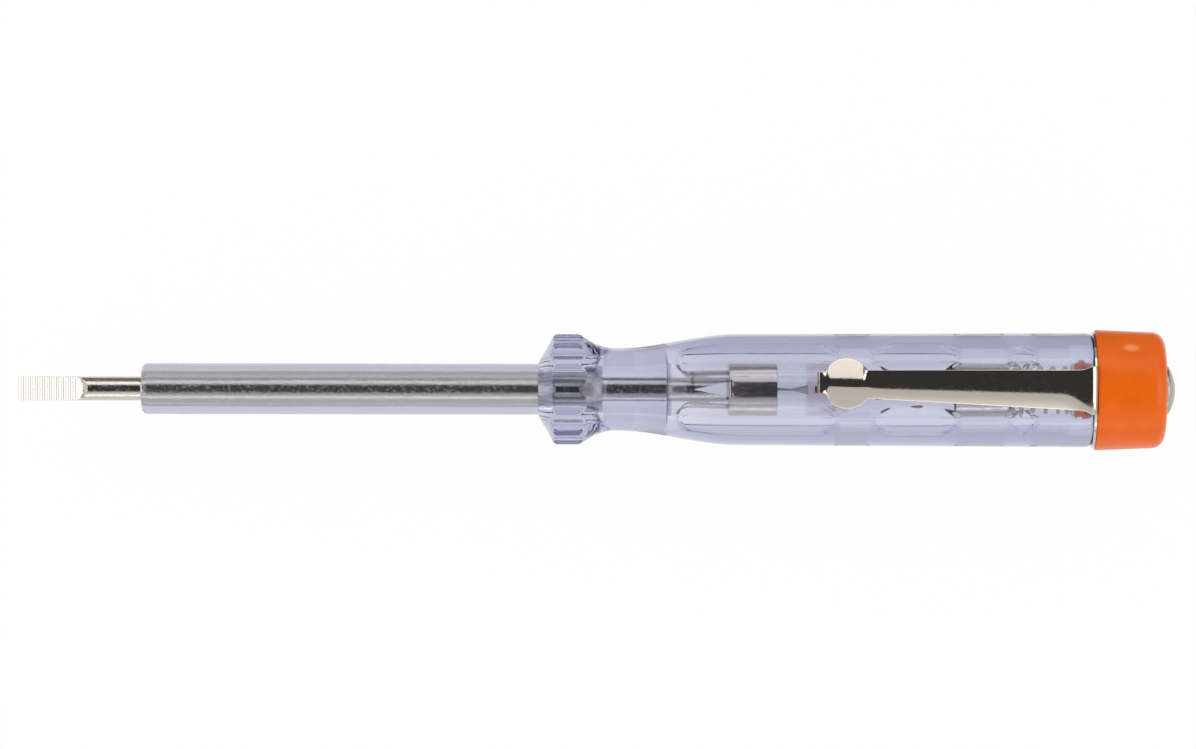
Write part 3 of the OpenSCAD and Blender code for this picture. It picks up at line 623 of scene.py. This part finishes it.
# Spark-finished ABS: even orange with a satin sheen, slightly mottled, paler where the feed was cut off.
satin_orange = blank("satin_orange_abs")
tree = satin_orange.node_tree
where = put(tree, "ShaderNodeTexCoord")
mottle = put(tree, "ShaderNodeTexNoise", {"Vector": where.outputs["Object"], "Scale": 1000 / mottle_mm,
                                          "Detail": 4.0})
tone = put(tree, "ShaderNodeValToRGB", {"Fac": mottle.outputs["Fac"]})
tone.color_ramp.elements[0].position = 0.3
tone.color_ramp.elements[0].color = linear("D65A02")
tone.color_ramp.elements[1].position = 0.7
tone.color_ramp.elements[1].color = linear("DE6004")
gate_spot = spot(gate_at, gate_r * math.sin(gate_angle), gate_r * math.cos(gate_angle))
to_gate = put(tree, "ShaderNodeVectorMath", {0: where.outputs["Object"], 1: gate_spot}, operation="SUBTRACT")
per_half = (1000 / gate_half_len, 1000 / gate_half_wide, 1000 / gate_half_wide)
fitted = put(tree, "ShaderNodeVectorMath", {0: to_gate.outputs[0], 1: per_half}, operation="MULTIPLY")
reach = put(tree, "ShaderNodeVectorMath", {0: fitted.outputs[0]}, operation="LENGTH")
pale = put(tree, "ShaderNodeMapRange", {"Value": reach.outputs["Value"], "From Min": 1.2, "From Max": 0.6,
                                        "To Min": 0.0, "To Max": 0.55})
body = put(tree, "ShaderNodeMix", {"Factor": pale.outputs[0], "A": tone.outputs["Color"],
                                   "B": linear("F0A06A")}, data_type="RGBA")
grain = put(tree, "ShaderNodeTexNoise", {"Vector": where.outputs["Object"], "Scale": 1000 / grain_mm,
                                         "Detail": 2.0})
satin = put(tree, "ShaderNodeBump", {"Height": grain.outputs["Fac"], "Strength": 1.0,
                                     "Distance": grain_deep_mm * MM})
abs_shader = put(tree, "ShaderNodeBsdfPrincipled", {"Base Color": body.outputs["Result"], "Roughness": 0.32,
                                                    "IOR": 1.53, "Specular IOR Level": 0.22,
                                                    "Normal": satin.outputs[0]})
put(tree, "ShaderNodeOutputMaterial", {"Surface": abs_shader.outputs[0]})
cap = piece_of(cap_mesh, "orange_end_cap", satin_orange, 40)
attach(cap, "cap")
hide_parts("end_cap")

# Pocket clip: one nickel-plated spring-steel pressing. A flat collar is clamped between handle and cap.
# A strip springs from it over a tight bend, arched along its length.
# It widens to a round disc, pressed to the shape of a low roof, and ends in an upturned tab.
collar_from, collar_t, collar_r, collar_hole_r, collar_edge = 131.83, 0.4, 7.15, 3.86, 0.08
bend_at, bend_rise, bend_r, tail_down = 132.03, 0.78, 0.62, 3.0
strip_t, rim_bevel, strip_cells = 0.45, 0.045, 28
root_half_w, arm_half_w, neck_half_w = 2.925, 2.475, 1.67
arm_len, arm_lean, disc_drop, disc_r = 30.4, 0.78, 0.22, 3.025
tab_half_w, tab_len, tab_rise, tab_bend = 1.28, 0.6, 0.08, 2.0
arch_r, arch_roll = 6.0, math.radians(11)
roof_slope, roof_knee = math.tan(math.radians(22)), 0.35
root_form_len, roof_form_len, drop_from, root_arch_share = 4, 1.0, 6, 0.5
neck_turn = math.asin(neck_half_w / disc_r)
tab_turn = math.asin(tab_half_w / disc_r)
disc_from = arm_len - disc_r * math.cos(neck_turn)
disc_end = arm_len + disc_r * math.cos(tab_turn)
strip_end = arm_len + disc_r + tab_len
bend_arc = bend_r * math.pi / 2


def strip_half(u):
    """Half width of the strip at a distance from the bend."""
    if u < disc_from:
        along = max(u, 0)
        flare = max(0, 1 - 2 * along / root_half_w)
        return arm_half_w + (neck_half_w - arm_half_w) * along / disc_from \
            + (root_half_w - arm_half_w) * flare ** 2
    if u < disc_end:
        return math.sqrt(disc_r ** 2 - (u - arm_len) ** 2)
    return tab_half_w


def strip_spot(u, share):
    """A point of the strip's middle sheet, u mm from the bend and at a share of its half width."""
    y = strip_half(u) * share
    arch = arch_r - math.sqrt(arch_r ** 2 - y * y) - y * math.tan(arch_roll)
    if u < 0:
        # The bend and the tail down to the collar, where the strip is less arched than the arm.
        turn = min(-u, bend_arc) / bend_r
        down = max(0, -u - bend_arc)
        return spot(bend_at - bend_r + bend_r * math.sin(turn), y,
                    grip_rear_r + bend_rise - bend_r * (1 - math.cos(turn)) - down - root_arch_share * arch)
    under = grip_rear_r + (grip_front_r - grip_rear_r) * u / (bend_at - grip_from)
    rise = bend_rise - disc_drop * ramp(u, drop_from, arm_len)
    # The far half of the disc folds at the neck's edge to start with, and then along the middle.
    ridge = neck_half_w * (1 - ramp(u, disc_from - 0.1, disc_from + 0.5))
    high, low = max(0, y - ridge), min(0, y)
    roof = roof_slope * (math.sqrt(high ** 2 + roof_knee ** 2) + math.sqrt(low ** 2 + roof_knee ** 2)
                         - 2 * roof_knee)
    formed = root_arch_share + (1 - root_arch_share) * ramp(u, 0, root_form_len)
    to_roof = ramp(u, disc_from - roof_form_len, disc_from)
    curl = max(0, (u - arm_len - tab_bend) / (strip_end - arm_len - tab_bend))
    flattened = 1 - 0.7 * ramp(curl, 0, 0.75)
    drop = formed * (arch * (1 - to_roof) + roof * to_roof) * flattened
    return spot(bend_at - bend_r - u * (strip_end - bend_r) / strip_end, y + arm_lean * u / arm_len,
                under + rise - drop + tab_rise * curl ** 6)


runs = [-(bend_arc + tail_down), -(bend_arc + tail_down / 2)] + steps_between(-bend_arc, 0, 0.1) \
    + steps_between(0, root_form_len, 0.25) + steps_between(root_form_len, disc_from - 0.6, 0.7) \
    + steps_between(disc_from - 0.6, disc_from, 0.1) \
    + [arm_len - disc_r * math.cos(a)
       for a in (neck_turn + (math.pi - neck_turn - tab_turn) * i / 30 for i in range(30))] \
    + steps_between(disc_end, strip_end, 0.1) + [strip_end]
clip_mesh = bmesh.new()
bmesh.ops.create_grid(clip_mesh, x_segments=strip_cells, y_segments=len(runs) - 1, size=1)
for v in clip_mesh.verts:
    row = round((v.co.y + 1) / 2 * (len(runs) - 1))
    v.co = strip_spot(runs[row], v.co.x)
bmesh.ops.recalc_face_normals(clip_mesh, faces=clip_mesh.faces[:])
for v, n in [(v, v.normal.copy()) for v in clip_mesh.verts]:
    v.co += n * strip_t / 2 * MM
bmesh.ops.solidify(clip_mesh, geom=clip_mesh.faces[:], thickness=strip_t * MM)
bmesh.ops.recalc_face_normals(clip_mesh, faces=clip_mesh.faces[:])
rims = [e for e in clip_mesh.edges if len(e.link_faces) == 2 and e.calc_face_angle(0) > math.radians(55)]
bmesh.ops.bevel(clip_mesh, geom=rims, offset=rim_bevel * MM, segments=2, profile=0.5, affect="EDGES",
                material=-1, clamp_overlap=True)
collar_to = collar_from + collar_t
collar = turned([
    (collar_from, collar_hole_r), (collar_from, collar_r - collar_edge),
    (collar_from + collar_edge, collar_r), (collar_to - collar_edge, collar_r),
    (collar_to, collar_r - collar_edge), (collar_to, collar_hole_r)], 128, ring=True)
copy_into(clip_mesh, collar)
collar.free()
# Barrel-nickelled spring steel: a dark and bright mirror with fine pits and a few rubs.
clip_nickel = plated_metal("barrel_nickelled_spring_steel", "C8C0B5", 0.07, 0.14, 0.022, (0.8, 1, 1), 0.1)
clip = piece_of(clip_mesh, "pocket_clip", clip_nickel, 40)
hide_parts("clip_collar", "clip_arm")
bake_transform(clip)

# Floor: a wide pale sheet of paper that the pen lies on, a hair below it.
# It shows white to the camera, to metal and through plastic, and still takes the pen's shadow.
floor_r, floor_gap = 3000, 0.03
floor_mesh = bmesh.new()
bmesh.ops.create_circle(floor_mesh, cap_ends=True, segments=64, radius=floor_r * MM)
bmesh.ops.translate(floor_mesh, vec=(0, 0, -floor_gap * MM), verts=floor_mesh.verts[:])
floor_mesh.normal_update()
bmesh.ops.reverse_faces(floor_mesh, faces=[f for f in floor_mesh.faces if f.normal.z < 0])
# Matt pale paper, open from below so that the underside can be looked at.
pale_sheet = blank("pale_paper_sheet")
tree = pale_sheet.node_tree
ray = put(tree, "ShaderNodeLightPath")
seen = put(tree, "ShaderNodeMath", {0: ray.outputs["Is Camera Ray"], 1: ray.outputs["Is Glossy Ray"]},
           operation="MAXIMUM")
seen = put(tree, "ShaderNodeMath", {0: seen.outputs[0], 1: ray.outputs["Is Transmission Ray"]},
           operation="MAXIMUM")
share = put(tree, "ShaderNodeMath", {0: seen.outputs[0], 1: 0.96}, operation="MULTIPLY")
paper = put(tree, "ShaderNodeBsdfDiffuse", {"Color": linear("F2F2F2")})
glow = put(tree, "ShaderNodeEmission", {"Color": linear("FFFFFF"), "Strength": 1.0})
lit = put(tree, "ShaderNodeMixShader", {0: share.outputs[0], 1: paper.outputs[0], 2: glow.outputs[0]})
below = put(tree, "ShaderNodeNewGeometry")
gone = put(tree, "ShaderNodeBsdfTransparent")
sheet = put(tree, "ShaderNodeMixShader", {0: below.outputs["Backfacing"], 1: lit.outputs[0],
                                          2: gone.outputs[0]})
put(tree, "ShaderNodeOutputMaterial", {"Surface": sheet.outputs[0]})
floor = piece_of(floor_mesh, "pale_floor", pale_sheet)

# Studio: a plain room, darker overhead than at its walls, for the pen's metal to reflect.
# The camera sees it white. Rays that come through plastic find it a little less dark overhead.
world = bpy.data.worlds.new("studio")
bpy.context.scene.world = world
world.use_nodes = True
tree = world.node_tree
tree.nodes.clear()
ray = put(tree, "ShaderNodeLightPath")
way = put(tree, "ShaderNodeSeparateXYZ", {0: put(tree, "ShaderNodeTexCoord").outputs["Generated"]})
level = put(tree, "ShaderNodeMapRange", {"Value": way.outputs["Z"], "From Min": 0.8, "From Max": 0.45,
                                         "To Min": 0.05, "To Max": 0.5}, interpolation_type="SMOOTHSTEP")
least = put(tree, "ShaderNodeMath", {0: ray.outputs["Is Transmission Ray"], 1: 0.12}, operation="MULTIPLY")
level = put(tree, "ShaderNodeMath", {0: level.outputs[0], 1: least.outputs[0]}, operation="MAXIMUM")
walls = put(tree, "ShaderNodeBackground", {"Color": linear("FFFFFF"), "Strength": level.outputs[0]})
white = put(tree, "ShaderNodeBackground", {"Color": linear("FFFFFF"), "Strength": 1.0})
sky = put(tree, "ShaderNodeMixShader", {0: ray.outputs["Is Camera Ray"], 1: walls.outputs[0],
                                        2: white.outputs[0]})
put(tree, "ShaderNodeOutputWorld", {"Surface": sky.outputs[0]})


def soft_box(name, bearing, tilt, distance, size, power):
    """A plain area lamp aimed at the pen: degrees round it and from straight above, metres, and watts."""
    lamp = bpy.data.lights.new(name, "AREA")
    lamp.shape = "RECTANGLE"
    lamp.size, lamp.size_y = size
    lamp.energy = power
    box = bpy.data.objects.new(name, lamp)
    b, t = math.radians(bearing), math.radians(tilt)
    way = Vector((math.sin(t) * math.cos(b), math.sin(t) * math.sin(b), math.cos(t)))
    box.location = way * distance + Vector((0, 0, AXIS_Z * MM))
    box.rotation_euler = way.to_track_quat("Z", "Y").to_euler()
    box.visible_camera = False
    bpy.context.scene.collection.objects.link(box)


soft_box("near_side_box", -90, 58, 1.2, (2.6, 1.25), 7.4)
soft_box("left_box", 180, 50, 1.3, (1.22, 1.22), 10.0)
soft_box("right_box", 0, 50, 1.3, (1.22, 1.22), 10.0)
soft_box("far_side_strip", 90, 52, 1.2, (2.0, 0.65), 5.5)
soft_box("near_side_strip", -90, 72, 1.2, (2.0, 0.14), 1.3)

# Grey card: a narrow strip of matt card that stands on edge beside the pen, on its far side.
# It is there only to be reflected, as the darker upper band of the polished metal.
card_len, card_high, card_beside, card_middle = 300, 11.5, 12.5, 6.25
card_mesh = bmesh.new()
bmesh.ops.create_grid(card_mesh, x_segments=1, y_segments=1, size=0.5)
bmesh.ops.scale(card_mesh, vec=(card_len * MM, card_high * MM, 1), verts=card_mesh.verts[:])
bmesh.ops.rotate(card_mesh, cent=(0, 0, 0), matrix=Matrix.Rotation(math.radians(90), 3, "X"),
                 verts=card_mesh.verts[:])
bmesh.ops.translate(card_mesh, vec=(0, card_beside * MM, card_middle * MM), verts=card_mesh.verts[:])
# Matt card: an even warm grey.
grey_card = blank("matt_grey_card")
tree = grey_card.node_tree
matt = put(tree, "ShaderNodeBsdfDiffuse", {"Color": linear("8C867A")})
put(tree, "ShaderNodeOutputMaterial", {"Surface": matt.outputs[0]})
card = piece_of(card_mesh, "grey_card", grey_card)
card.visible_camera = card.visible_diffuse = card.visible_transmission = card.visible_shadow = False

# Camera: a long lens straight above the pen, turned by a tenth of a degree.
# Its place and turn were fitted to the outline in the photograph.
camera = bpy.data.objects.new("camera", bpy.data.cameras.new("camera"))
camera.data.lens = 200.7
camera.data.sensor_width = 36
camera.data.clip_start, camera.data.clip_end = 0.02, 20
camera.location = (0.00013, 0.00182, 0.8274)
camera.rotation_euler = (0, 0, math.radians(0.0996))
bpy.context.scene.collection.objects.link(camera)
bpy.context.scene.camera = camera
bpy.context.scene.view_settings.view_transform = "Standard"
